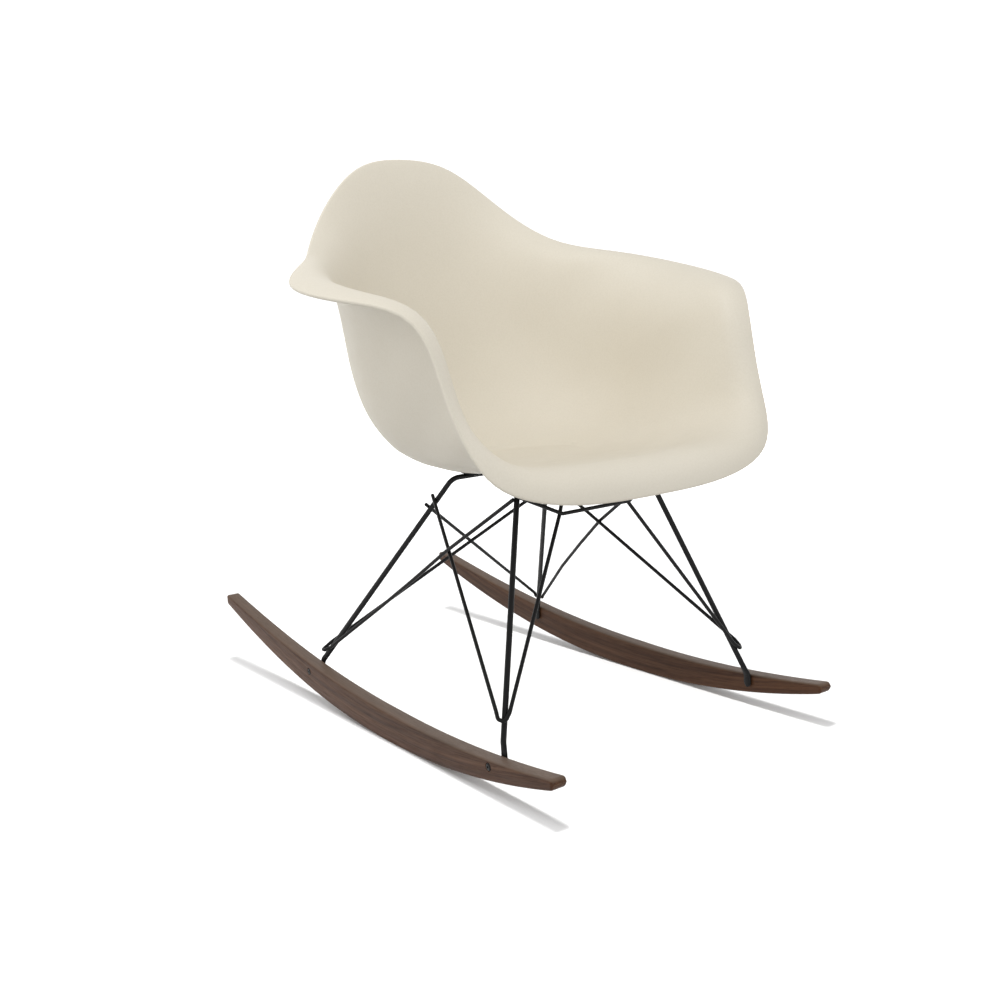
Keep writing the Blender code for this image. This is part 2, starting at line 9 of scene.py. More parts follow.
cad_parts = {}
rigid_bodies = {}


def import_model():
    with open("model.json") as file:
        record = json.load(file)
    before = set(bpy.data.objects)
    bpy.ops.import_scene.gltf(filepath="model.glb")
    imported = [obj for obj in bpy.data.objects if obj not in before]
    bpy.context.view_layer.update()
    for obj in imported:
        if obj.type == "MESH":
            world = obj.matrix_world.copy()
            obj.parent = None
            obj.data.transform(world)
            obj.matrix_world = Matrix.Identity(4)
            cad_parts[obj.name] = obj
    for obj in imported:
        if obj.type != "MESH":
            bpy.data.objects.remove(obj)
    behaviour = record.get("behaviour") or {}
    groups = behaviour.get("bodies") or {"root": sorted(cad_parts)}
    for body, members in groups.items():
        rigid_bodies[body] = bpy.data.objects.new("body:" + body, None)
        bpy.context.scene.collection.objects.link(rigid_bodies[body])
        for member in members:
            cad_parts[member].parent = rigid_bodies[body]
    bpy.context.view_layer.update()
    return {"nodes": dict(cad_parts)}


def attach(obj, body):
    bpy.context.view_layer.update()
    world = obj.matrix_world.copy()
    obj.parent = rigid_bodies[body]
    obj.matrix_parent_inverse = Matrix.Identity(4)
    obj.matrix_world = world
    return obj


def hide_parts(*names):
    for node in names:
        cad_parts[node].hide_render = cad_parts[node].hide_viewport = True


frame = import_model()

# The chair faces -Y, +Z is up, and sizes are the CAD part's, in metres.
GAP = 0.0003  # left between pieces that touch

# Rockers: two upright curved bars, flat sides facing left and right.
ROCKER_LENGTH = 0.866
ROCKER_OUTER_X = 0.2220
ROCKER_WIDTH = 0.0210
ROCKER_RADIUS = 1.333
ROCKER_RADIUS_FRONT = 1.245  # ahead of the contact
ROCKER_EASE = 0.100  # how much the underside flattens towards the rear tip, times distance^4
ROCKER_DEPTH = 0.0392
ROCKER_DEPTH_SLOPE = 0.032
ROCKER_DEPTH_TAPER = 0.143
ROCKER_TOE = 0.008  # how far the two rockers draw together towards the rear, per metre
CONTACT_Y = -0.098  # where the rockers touch the floor
CONTACT_HALF = 0.010
ROCKER_STEPS = 150
ROCKER_ROUND = 0.0032  # radius of the eased edges
ROCKER_END_ROUND = 0.0065  # radius of the tips' corners, seen from the side

# Wire base: thick leg rods and thin bracing wires. Points are for the left side, +X.
LEG_RADIUS = 0.0035
WIRE_RADIUS = 0.0021
WIRE_SHOWS = 0.00240  # with its coating
BESIDE_LEG = LEG_RADIUS + WIRE_RADIUS + GAP  # between a leg's middle and a wire's beside it
FOOT_HALF_THICK = 0.0018
FOOT_HALF_WIDE = 0.0058
FOOT_CLEAR = 0.0002  # more than the gap, because the rockers draw together
FOOT_FLAT = 0.0100  # the foot is flat this far above its screw
FOOT_BLEND = 0.0120  # and round again this much higher
FRONT_SCREW = (-0.3140, 0.0345)  # Y and Z of the leg screws
REAR_SCREW = (0.1400, 0.0445)
FRONT_LEG_LOW = (0.1955, -0.3090, 0.0560)
FRONT_LEG_TOP = (0.1028, -0.2375, 0.3245)
REAR_LEG_LOW = (0.1945, 0.1360, 0.0590)
REAR_LEG_TOP = (0.0800, -0.0615, 0.3235)
FRONT_LEG = (FRONT_LEG_LOW, FRONT_LEG_TOP)
REAR_LEG = (REAR_LEG_LOW, REAR_LEG_TOP)

# Bracing wires. Hooks list offsets from the leg's middle: outward, backward, rise.
HOOK_BEND = 0.0045
FRONT_HOOK_Z = 0.0800
FRONT_HOOK = (
    (0.0102, 0.0030, 0.0060), (0.0097, -0.0010, -0.0020), (0.0035, -0.0072, -0.0040),
    (-0.0022, -0.0064, 0.0060),
)
REAR_HOOK_Z = 0.0730
REAR_HOOK = (
    (-0.0020, 0.0085, 0.0070), (0.0010, 0.0095, -0.0020), (0.0080, 0.0055, -0.0040),
    (0.0085, 0.0010, -0.0010), (0.0062, -0.0025, 0.0060),
)
ARM_BEYOND = 0.008  # how far an arm runs on past the leg that it crosses
LEFT_ACROSS = (0.2810, (0, 1, 0), ARM_BEYOND)  # height at the far leg, its face, run past it
RIGHT_ACROSS = (0.2920, (0, -1, 0), 0.003)
FRONT_ARM_END_Z = 0.2940
FRONT_ARM_BAR_END = (0.0345, FRONT_LEG_TOP[1] - BESIDE_LEG * 1.02, FRONT_LEG_TOP[2] + 0.0015)
REAR_ARM_BOW = ((0.1590, 0.0201, 0.1489), (0.1423, -0.0471, 0.1954), (0.1297, -0.1091, 0.2382))
REAR_ARM_END_Z = 0.3140
REAR_ARM_BEYOND = 0.002
CROSSBAR_BEND = (0.0540, -0.2598, 0.2925)
CROSSBAR_END_Z = 0.3170
CROSSBAR_BEYOND = 0.006

# Mounts between the base and the seat.
TAB_HALF_X = 0.0125
TAB_THICK = 0.0022
TAB_LONG = 0.026
SCREW_FROM_BAR = 0.0135
MOUNT_X = 0.050
MOUNT_RADIUS = 0.0105
MOUNT_THICK = 0.0050
BOSS_RADIUS = 0.0115
BOSS_TOPS = {"front": 0.3446, "rear": 0.3414}  # heights inside the shell's thickness

# Leg screws.
LEG_SCREW_RADIUS = 0.0022
LEG_HEAD_RADIUS = 0.0045
LEG_HEAD_SINK = 0.0025
HOLE_SHOWS = 0.0008  # the gap that shows round a screw head
CUTTER_BEYOND = 0.010

# Seat shell. Each station runs from the seat's floor out to the rim, on the outer (lower) skin.
SHELL_THICK = 0.0050
SHELL_AROUND = 72  # mesh strips between the front centre and the back centre, per side
SHELL_OUT = 44  # mesh strips between the seat's floor and the rim
RIM_STEPS = 8
FLOOR_SMOOTH = 8  # strips that are blended with the seat's floor
FLOOR_PASSES = 30
SHELL_STATIONS = (
    # front centre, where the lip hangs lowest
    ((0.000, -0.165, 0.337), (0.000, -0.235, 0.342), (0.000, -0.295, 0.350), (0.000, -0.334, 0.353),
     (0.000, -0.353, 0.346), (0.000, -0.363, 0.335), (0.000, -0.367, 0.320)),
    ((0.048, -0.162, 0.337), (0.072, -0.230, 0.343), (0.093, -0.290, 0.352), (0.104, -0.330, 0.356),
     (0.109, -0.350, 0.350), (0.111, -0.360, 0.339), (0.111, -0.364, 0.324)),
    ((0.082, -0.147, 0.338), (0.119, -0.212, 0.346), (0.151, -0.272, 0.359), (0.170, -0.313, 0.368),
     (0.178, -0.335, 0.366), (0.182, -0.348, 0.356), (0.183, -0.354, 0.340)),
    # corner of the seat, where the lip turns up into the arm
    ((0.102, -0.127, 0.339), (0.146, -0.185, 0.351), (0.181, -0.240, 0.375), (0.201, -0.286, 0.396),
     (0.210, -0.313, 0.401), (0.216, -0.328, 0.392), (0.220, -0.337, 0.371)),
    ((0.110, -0.112, 0.340), (0.155, -0.150, 0.356), (0.190, -0.198, 0.392), (0.207, -0.242, 0.430),
     (0.216, -0.278, 0.449), (0.226, -0.297, 0.453), (0.239, -0.305, 0.448)),
    # front corner of the arm
    ((0.112, -0.098, 0.341), (0.160, -0.125, 0.360), (0.200, -0.155, 0.412), (0.214, -0.188, 0.468),
     (0.225, -0.237, 0.518), (0.241, -0.264, 0.536), (0.259, -0.271, 0.534)),
    ((0.112, -0.085, 0.341), (0.160, -0.105, 0.361), (0.201, -0.120, 0.414), (0.213, -0.140, 0.478),
     (0.235, -0.190, 0.542), (0.270, -0.210, 0.562), (0.299, -0.213, 0.557)),
    # arm at its widest
    ((0.108, -0.068, 0.341), (0.155, -0.078, 0.361), (0.198, -0.078, 0.416), (0.212, -0.085, 0.486),
     (0.239, -0.102, 0.562), (0.281, -0.116, 0.585), (0.315, -0.120, 0.579)),
    ((0.098, -0.048, 0.341), (0.141, -0.047, 0.361), (0.182, -0.028, 0.418), (0.197, -0.022, 0.490),
     (0.212, -0.020, 0.577), (0.235, -0.029, 0.607), (0.257, -0.034, 0.607)),
    # shoulder, where the arm turns up into the back
    ((0.081, -0.030, 0.340), (0.117, -0.015, 0.361), (0.153, 0.016, 0.418), (0.167, 0.035, 0.495),
     (0.176, 0.036, 0.584), (0.191, 0.043, 0.621), (0.205, 0.049, 0.631)),
    ((0.058, -0.015, 0.340), (0.084, 0.012, 0.360), (0.108, 0.058, 0.418), (0.118, 0.084, 0.500),
     (0.126, 0.092, 0.610), (0.137, 0.106, 0.671), (0.145, 0.112, 0.689)),
    ((0.030, -0.006, 0.339), (0.044, 0.031, 0.360), (0.057, 0.085, 0.418), (0.063, 0.112, 0.505),
     (0.069, 0.123, 0.625), (0.073, 0.132, 0.722), (0.0755, 0.137, 0.745)),
    # top of the back
    ((0.000, -0.003, 0.339), (0.000, 0.037, 0.360), (0.000, 0.094, 0.418), (0.000, 0.1215, 0.505),
     (0.000, 0.134, 0.630), (0.000, 0.139, 0.738), (0.000, 0.144, 0.759)),
)


def rounded_path(corners, radius, steps=5):
    """The corner points of a bent rod, with each inner corner replaced by an arc."""
    corners = [Vector(corner) for corner in corners]
    path = [corners[0]]
    for before, corner, after in zip(corners, corners[1:], corners[2:]):
        back, ahead = (before - corner).normalized(), (after - corner).normalized()
        half = back.angle(ahead) / 2
        reach = min(radius / math.tan(half), 0.45 * (before - corner).length,
                    0.45 * (after - corner).length)
        bend = reach * math.tan(half)
        centre = corner + (back + ahead).normalized() * (bend / math.sin(half))
        start, end = corner + back * reach - centre, corner + ahead * reach - centre
        sweep = start.angle(end)
        for i in range(steps + 1):
            turn = sweep * i / steps
            path.append(centre + (start * math.sin(sweep - turn) + end * math.sin(turn))
                        / math.sin(sweep))
    path.append(corners[-1])
    return path


def swept_rings(path, half_sizes, sides, across=Vector((1, 0, 0))):
    """Rings along a path. half_sizes gives each ring's half width across and along the bend."""
    rings = []
    for i, point in enumerate(path):
        ahead = path[min(i + 1, len(path) - 1)] - path[max(i - 1, 0)]
        ahead.normalize()
        across = (across - ahead * across.dot(ahead)).normalized()
        other = ahead.cross(across)
        wide, deep = half_sizes(i)
        rings.append([
            point + across * wide * math.cos(turn) + other * deep * math.sin(turn)
            for turn in (2 * math.pi * (k + 0.5) / sides for k in range(sides))
        ])
    return rings


def rocker_outer(y):
    """X of the rocker's outer face."""
    return ROCKER_OUTER_X - ROCKER_TOE * (y - FRONT_SCREW[0])


def rocker_underside(y):
    away = max(abs(y - CONTACT_Y) - CONTACT_HALF, 0.0)
    if y < CONTACT_Y:
        return away**2 / (2 * ROCKER_RADIUS_FRONT)
    return away**2 / (2 * ROCKER_RADIUS) - ROCKER_EASE * away**4


def rocker_depth(y):
    away = y - CONTACT_Y
    return ROCKER_DEPTH + ROCKER_DEPTH_SLOPE * away - ROCKER_DEPTH_TAPER * away**2


def mirrored(point, side):
    return Vector((side * point[0], point[1], point[2]))


def on_leg(leg, z):
    """The point of a leg's centre line at height z. A leg is its (low, top) end points."""
    low, top = leg
    share = (z - low[2]) / (top[2] - low[2])
    return Vector((low[0] + share * (top[0] - low[0]), low[1] + share * (top[1] - low[1]), z))


def round_leg(leg, z, offsets):
    """Points of a wire hooked round a leg near height z, from (outward, backward, rise) offsets."""
    along = (Vector(leg[1]) - Vector(leg[0])).normalized()
    outward = (Vector((1, 0, 0)) - along * along.x).normalized()
    backward = along.cross(outward)
    return [
        on_leg(leg, z + rise) + outward * out + backward * back for out, back, rise in offsets
    ]


def past_leg(start, leg, z, towards, beyond):
    """The end of an arm that runs from start past a leg, touching the side that faces towards."""
    aim = on_leg(leg, z) - start
    beside = (Vector(leg[1]) - Vector(leg[0])).cross(aim).normalized()
    if beside.dot(Vector(towards)) < 0:
        beside.negate()
    end = on_leg(leg, z) + beside * BESIDE_LEG
    return end + (end - start).normalized() * beyond


def make_rear_brace(name, side):
    """Hooked round the outer rear of a rear leg, with one arm to the front leg and one across."""
    hook = round_leg(REAR_LEG, REAR_HOOK_Z, REAR_HOOK)
    # The two arms that cross under the seat end at different heights, on opposite faces.
    height, face, beyond = LEFT_ACROSS if side > 0 else RIGHT_ACROSS
    far_leg = [mirrored(end, -1) for end in REAR_LEG]
    across_end = past_leg(hook[0], far_leg, height, face, beyond)
    bow = [Vector(point) for point in REAR_ARM_BOW]
    front_end = past_leg(bow[-1], FRONT_LEG, REAR_ARM_END_Z, (1, 0, 0), REAR_ARM_BEYOND)
    corners = [mirrored(point, side) for point in (across_end, *hook, *bow, front_end)]
    return wire(name, corners, bend=HOOK_BEND)


def make_front_brace(name, side):
    """Hooked round the outer front of a front leg, with an arm to the rear leg and one to the bar."""
    hook = round_leg(FRONT_LEG, FRONT_HOOK_Z, FRONT_HOOK)
    rear_end = past_leg(hook[0], REAR_LEG, FRONT_ARM_END_Z, (1, 0, 0), ARM_BEYOND)
    beside_crossbar = Vector(CROSSBAR_BEND) + Vector((0, 2 * WIRE_RADIUS + 2 * GAP, 0))
    corners = [rear_end, *hook, beside_crossbar, FRONT_ARM_BAR_END]
    return wire(name, [mirrored(point, side) for point in corners], bend=HOOK_BEND)


def make_crossbar():
    """The thin trapezoid that hangs in front of the front legs, under their top bar."""
    end = past_leg(Vector(CROSSBAR_BEND), FRONT_LEG, CROSSBAR_END_Z, (0, -1, 0), CROSSBAR_BEYOND)
    corners = [end, CROSSBAR_BEND, mirrored(CROSSBAR_BEND, -1), mirrored(end, -1)]
    return wire("front_crossbar_wire", corners, bend=0.007)


def spline(points, spots, at):
    """A natural cubic spline through points at the given spots, read at the places in at."""
    points, spots, at = np.asarray(points, float), np.asarray(spots, float), np.asarray(at, float)
    steps = np.diff(spots)
    count = len(spots)
    system = np.eye(count)
    right = np.zeros_like(points)
    for i in range(1, count - 1):
        system[i, i - 1 : i + 2] = steps[i - 1], 2 * (steps[i - 1] + steps[i]), steps[i]
        right[i] = 6 * ((points[i + 1] - points[i]) / steps[i] - (points[i] - points[i - 1]) / steps[i - 1])
    bends = np.linalg.solve(system, right)
    i = np.clip(np.searchsorted(spots, at, side="right") - 1, 0, count - 2)
    width = steps[i][:, None]
    a = (spots[i + 1][:, None] - at[:, None]) / width
    b = 1 - a
    return (a * points[i] + b * points[i + 1]
            + ((a**3 - a) * bends[i] + (b**3 - b) * bends[i + 1]) * width**2 / 6)


def spaced(points):
    """Distances along a row of points."""
    return np.concatenate([[0.0], np.cumsum(np.linalg.norm(np.diff(points, axis=0), axis=1))])


def shell_grid(around, out):
    """The shell's skin as rows of points: grid[i][j] is row i out from the floor, column j around."""
    half = np.array(SHELL_STATIONS)
    mirrored = half[-2:0:-1] * (-1, 1, 1)
    ring = np.concatenate([half, mirrored])
    rows = len(half[0])
    wrap = 4
    wrapped = np.concatenate([ring[-wrap:], ring, ring[: wrap + 1]])
    middle = np.mean([spaced(wrapped[:, row]) for row in range(rows)], axis=0)
    start, end = middle[wrap], middle[wrap + len(ring)]
    turn_points = start + (end - start) * np.arange(2 * around) / (2 * around)
    columns = np.stack([spline(wrapped[:, row], middle, turn_points) for row in range(rows)])
    grid = []
    for column in range(2 * around):
        line = columns[:, column]
        spots = spaced(line)
        grid.append(spline(line, spots, np.linspace(0, spots[-1], out + 1)))
    return np.array(grid).transpose(1, 0, 2)

# ---- materials


class Look:
    """A node material, built step by step around one Principled shader."""

    def __init__(self, name, roughness, metallic=0.0):
        self.material = bpy.data.materials.new(name)
        self.material.use_nodes = True
        self.tree = self.material.node_tree
        self.shader = self.tree.nodes["Principled BSDF"]
        self.shader.inputs["Roughness"].default_value = roughness
        self.shader.inputs["Metallic"].default_value = metallic
        self.place = self.tree.nodes.new("ShaderNodeTexCoord")

    def node(self, kind, **values):
        made = self.tree.nodes.new(kind)
        for key, value in values.items():
            setattr(made, key, value)
        return made

    def link(self, start, end):
        self.tree.links.new(start, end)

    def noise(self, scale, detail=4.0, rough=0.5, stretch=None, coords=None):
        """Noise over the object, in cycles per metre. stretch scales its three directions."""
        made = self.node("ShaderNodeTexNoise")
        made.inputs["Scale"].default_value = scale
        made.inputs["Detail"].default_value = detail
        made.inputs["Roughness"].default_value = rough
        source = coords or self.place.outputs["Object"]
        if stretch:
            mapping = self.node("ShaderNodeMapping")
            mapping.inputs["Scale"].default_value = stretch
            self.link(source, mapping.inputs["Vector"])
            source = mapping.outputs["Vector"]
        self.link(source, made.inputs["Vector"])
        return made.outputs["Fac"]

    def ramp(self, source, *stops):
        """Colours along a 0 to 1 value: each stop is (position, colour)."""
        made = self.node("ShaderNodeValToRGB")
        elements = made.color_ramp.elements
        for _ in range(len(stops) - 2):
            elements.new(0.5)
        for element, (position, color) in zip(elements, stops):
            element.position = position
            element.color = (*color, 1.0)
        self.link(source, made.inputs["Fac"])
        return made.outputs["Color"]

    def spread(self, source, low, high, start=0.3, end=0.7):
        """The value remapped so that start gives low and end gives high."""
        made = self.node("ShaderNodeMapRange")
        for name, value in (("From Min", start), ("From Max", end), ("To Min", low), ("To Max", high)):
            made.inputs[name].default_value = value
        self.link(source, made.inputs["Value"])
        return made.outputs["Result"]

    def mix(self, factor, first, second, blend="MIX"):
        made = self.node("ShaderNodeMix", data_type="RGBA", blend_type=blend)
        for value, slot in ((factor, 0), (first, 6), (second, 7)):
            if isinstance(value, (int, float)):
                made.inputs[slot].default_value = value
            elif isinstance(value, tuple):
                made.inputs[slot].default_value = (*value, 1.0)
            else:
                self.link(value, made.inputs[slot])
        return made.outputs[2]

    def edges(self, start, end, most):
        """0 on flat or hollow surfaces, rising to most on the sharpest edges, broken up by noise."""
        sharp = self.spread(self.node("ShaderNodeNewGeometry").outputs["Pointiness"], 0.0, most, start, end)
        patchy = self.spread(self.noise(70.0, 5.0, 0.6), 0.35, 1.0, 0.35, 0.62)
        made = self.node("ShaderNodeMath", operation="MULTIPLY")
        self.link(sharp, made.inputs[0])
        self.link(patchy, made.inputs[1])
        return made.outputs[0]

    def color(self, output):
        self.link(output, self.shader.inputs["Base Color"])

    def roughness(self, output):
        self.link(output, self.shader.inputs["Roughness"])

    def bump(self, height, distance, strength=1.0, below=None):
        made = self.node("ShaderNodeBump")
        made.inputs["Strength"].default_value = strength
        made.inputs["Distance"].default_value = distance
        self.link(height, made.inputs["Height"])
        if below is not None:
            self.link(below, made.inputs["Normal"])
        self.link(made.outputs["Normal"], self.shader.inputs["Normal"])
        return made.outputs["Normal"]


def cream_plastic():
    """Moulded plastic: an even warm white with a faint mottle and a fine satin texture."""
    look = Look("moulded_cream_plastic", 0.55)
    look.shader.inputs["Specular IOR Level"].default_value = 0.30
    cloud = look.noise(5.0, 3.0)
    speck = look.noise(420.0, 2.0)
    even = look.ramp(cloud, (0.30, (0.712, 0.664, 0.563)), (0.70, (0.742, 0.695, 0.595)))
    dusty = look.ramp(speck, (0.35, (0.975, 0.972, 0.965)), (0.60, (1.0, 1.0, 1.0)))
    clean = look.mix(1.0, even, dusty, "MULTIPLY")
    look.color(look.mix(look.edges(0.56, 0.68, 0.25), clean, (0.760, 0.720, 0.640)))
    look.roughness(look.spread(look.noise(60.0, 5.0), 0.50, 0.62))
    grain = look.noise(1500.0, 2.0, 0.6)
    ripple = look.noise(9.0, 2.0)
    soft = look.bump(ripple, 0.0006, 0.15)
    look.bump(grain, 0.00006, 0.35, soft)
    return look.material


def powder_coat():
    """Satin black coating on steel: fine orange peel, with the odd dull rub mark."""
    look = Look("black_powder_coat", 0.42)
    look.shader.inputs["Specular IOR Level"].default_value = 0.17
    rubbed = look.spread(look.noise(45.0, 6.0, 0.65), 0.0, 1.0, 0.60, 0.78)
    coated = look.mix(rubbed, (0.0045, 0.0045, 0.0048), (0.013, 0.013, 0.0135))
    look.color(look.mix(look.edges(0.62, 0.78, 0.5), coated, (0.035, 0.034, 0.033)))
    look.roughness(look.spread(look.noise(180.0, 4.0), 0.36, 0.50))
    look.bump(look.noise(1300.0, 2.0), 0.00008, 0.4)
    return look.material


def black_steel():
    """Blackened steel screws with a little wear."""
    look = Look("blackened_steel", 0.38, 0.35)
    look.shader.inputs["Specular IOR Level"].default_value = 0.25
    worn = look.spread(look.noise(600.0, 5.0, 0.6), 0.0, 1.0, 0.55, 0.80)
    look.color(look.mix(worn, (0.004, 0.0038, 0.0036), (0.018, 0.017, 0.016)))
    look.roughness(look.spread(look.noise(900.0, 3.0), 0.26, 0.46))
    look.bump(look.noise(2500.0, 2.0), 0.00004, 0.5)
    return look.material


def rubber():
    """Moulded black rubber: dull, a little grey where it is dusty."""
    look = Look("black_rubber", 0.82)
    look.color(look.ramp(look.noise(260.0, 5.0), (0.35, (0.012, 0.012, 0.012)), (0.75, (0.034, 0.033, 0.032))))
    look.roughness(look.spread(look.noise(500.0, 3.0), 0.72, 0.92))
    look.bump(look.noise(1800.0, 3.0), 0.00008, 0.6)
    return look.material


def walnut():
    """Oiled walnut: long dark grain along the bar, fine pores, a duller sheen in the grain."""
    look = Look("oiled_walnut", 0.45)
    look.shader.inputs["Specular IOR Level"].default_value = 0.16
    uv = look.node("ShaderNodeUVMap", uv_map="grain")
    parts = look.node("ShaderNodeSeparateXYZ")
    look.link(uv.outputs["UV"], parts.inputs["Vector"])
    across = look.node("ShaderNodeSeparateXYZ")
    look.link(look.place.outputs["Object"], across.inputs["Vector"])
    joined = look.node("ShaderNodeCombineXYZ")
    look.link(parts.outputs["X"], joined.inputs["X"])
    look.link(parts.outputs["Y"], joined.inputs["Y"])
    look.link(across.outputs["X"], joined.inputs["Z"])
    coords = joined.outputs["Vector"]
    drift = look.noise(1.0, 3.0, 0.5, (2.2, 24.0, 24.0), coords)
    bands = look.noise(1.0, 5.0, 0.62, (3.0, 150.0, 150.0), coords)
    pores = look.noise(1.0, 3.0, 0.7, (26.0, 900.0, 900.0), coords)
    base = look.ramp(bands, (0.30, (0.034, 0.0125, 0.0050)), (0.44, (0.066, 0.0275, 0.0120)),
                     (0.56, (0.090, 0.0410, 0.0195)), (0.72, (0.128, 0.0630, 0.0330)))
    tone = look.ramp(drift, (0.30, (0.74, 0.72, 0.70)), (0.70, (1.16, 1.13, 1.10)))
    toned = look.mix(1.0, base, tone, "MULTIPLY")
    streak = look.ramp(pores, (0.36, (0.50, 0.46, 0.44)), (0.50, (1.0, 1.0, 1.0)))
    wood = look.mix(0.75, toned, look.mix(1.0, toned, streak, "MULTIPLY"))
    # Painted light: faces turned up are painted lighter and greyer, as if lit from above.
    facing = look.node("ShaderNodeSeparateXYZ")
    look.link(look.place.outputs["Normal"], facing.inputs["Vector"])
    painted_top_light = look.spread(facing.outputs["Z"], 0.0, 0.55, 0.35, 0.85)
    worn = look.mix(look.edges(0.54, 0.64, 0.45), wood, (0.170, 0.105, 0.066))
    look.color(look.mix(painted_top_light, worn, (0.195, 0.146, 0.112)))
    look.roughness(look.spread(pores, 0.58, 0.40, 0.34, 0.60))
    lines = look.bump(bands, 0.0004, 0.20)
    look.bump(pores, 0.00025, 0.45, lines)
    return look.material


CREAM_PLASTIC = cream_plastic()
POWDER_COAT = powder_coat()
BLACK_STEEL = black_steel()
RUBBER = rubber()
WALNUT = walnut()


# ---- shapes


def add_piece(name, bm, finish, smooth_below=50.0):
    """A finished piece: it moves with the chair and has its own material."""
    bmesh.ops.recalc_face_normals(bm, faces=bm.faces[:])
    mesh = bpy.data.meshes.new(name)
    bm.to_mesh(mesh)
    bm.free()
    mesh.shade_smooth()
    mesh.set_sharp_from_angle(angle=math.radians(smooth_below))
    mesh.materials.append(finish)
    piece = bpy.data.objects.new(name, mesh)
    bpy.context.scene.collection.objects.link(piece)
    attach(piece, "root")
    return piece


def loft(rings, bm=None):
    """A closed solid through rings of equal length, each a list of points in order."""
    bm = bm or bmesh.new()
    loops = [[bm.verts.new(point) for point in ring] for ring in rings]
    count = len(loops[0])
    for low, high in zip(loops, loops[1:]):
        for i in range(count):
            j = (i + 1) % count
            bm.faces.new((low[i], low[j], high[j], high[i]))
    bm.faces.new(loops[0][::-1])
    bm.faces.new(loops[-1])
    return bm


def rounded_ends(path, radius):
    """A path with extra points just inside both ends, and the share of the radius at each point."""
    shares = [math.sin(math.radians(angle)) for angle in (22, 45, 66, 90)]
    insets = [radius * 0.6 * (1 - math.cos(math.radians(angle))) for angle in (22, 45, 66, 90)]
    insets = [inset - insets[0] for inset in insets]
    first = (path[1] - path[0]).normalized()
    last = (path[-2] - path[-1]).normalized()
    start = [path[0] + first * inset for inset in insets]
    end = [path[-1] + last * inset for inset in insets][::-1]
    sizes = shares + [1.0] * (len(path) - 2) + shares[::-1]
    return start + path[1:-1] + end, sizes


def wire(name, corners, radius=WIRE_SHOWS, bend=0.008, sides=20):
    path = rounded_path(corners, bend, 9)
    path, sizes = rounded_ends(path, radius)
    start = path[1] - path[0]
    rings = swept_rings(path, lambda i: (radius * sizes[i],) * 2, sides, start.orthogonal())
    piece = add_piece(name, loft(rings), POWDER_COAT)
    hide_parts(name.removesuffix("_wire"))
    return piece


def make_leg_rod(name, node, screw, leg):
    """One bent rod: an inverted U whose two feet are flattened against the rockers."""
    y, z = screw
    low, top = leg
    foot_x = rocker_outer(y) - ROCKER_WIDTH - GAP - FOOT_HALF_THICK - FOOT_CLEAR
    flat = [(foot_x, y, z - 0.0085 + 0.0017 * step) for step in range(11)]
    half = [flat[0], flat[-1], low, top]
    left = flat[:-1] + rounded_path([*half, (0.0, top[1], top[2])], 0.014, 10)[1:]
    left = [Vector(point) for point in left]
    right = [Vector((-point.x, point.y, point.z)) for point in left[:-1]]
    path = left[:-1] + right[::-1]
    heights = [point.z for point in path]
    foot_low = z - 0.0085

    def sizes(i):
        blend = min(max((heights[i] - z - FOOT_FLAT) / FOOT_BLEND, 0.0), 1.0)
        blend = blend * blend * (3 - 2 * blend)
        # The foot's lower end is round.
        up = min((heights[i] - foot_low) / FOOT_HALF_WIDE, 1.0)
        wide = FOOT_HALF_WIDE * math.sqrt(max(1 - (1 - up) ** 2, 0.09))
        return (FOOT_HALF_THICK + (LEG_RADIUS - FOOT_HALF_THICK) * blend,
                wide + (LEG_RADIUS - FOOT_HALF_WIDE) * blend)

    piece = add_piece(name, loft(swept_rings(path, sizes, 28)), POWDER_COAT)
    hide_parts(node)
    return piece


def rocker_outline(y):
    """Low and high edge of the rocker at y, with the tips' corners rounded off."""
    low = rocker_underside(y)
    high = low + rocker_depth(y)
    from_end = ROCKER_LENGTH / 2 - abs(y)
    if from_end < ROCKER_END_ROUND:
        short = ROCKER_END_ROUND - math.sqrt(
            max(ROCKER_END_ROUND**2 - (ROCKER_END_ROUND - from_end) ** 2, 0.0))
        low += short * 0.86
        high -= short * 0.86
    return low, high


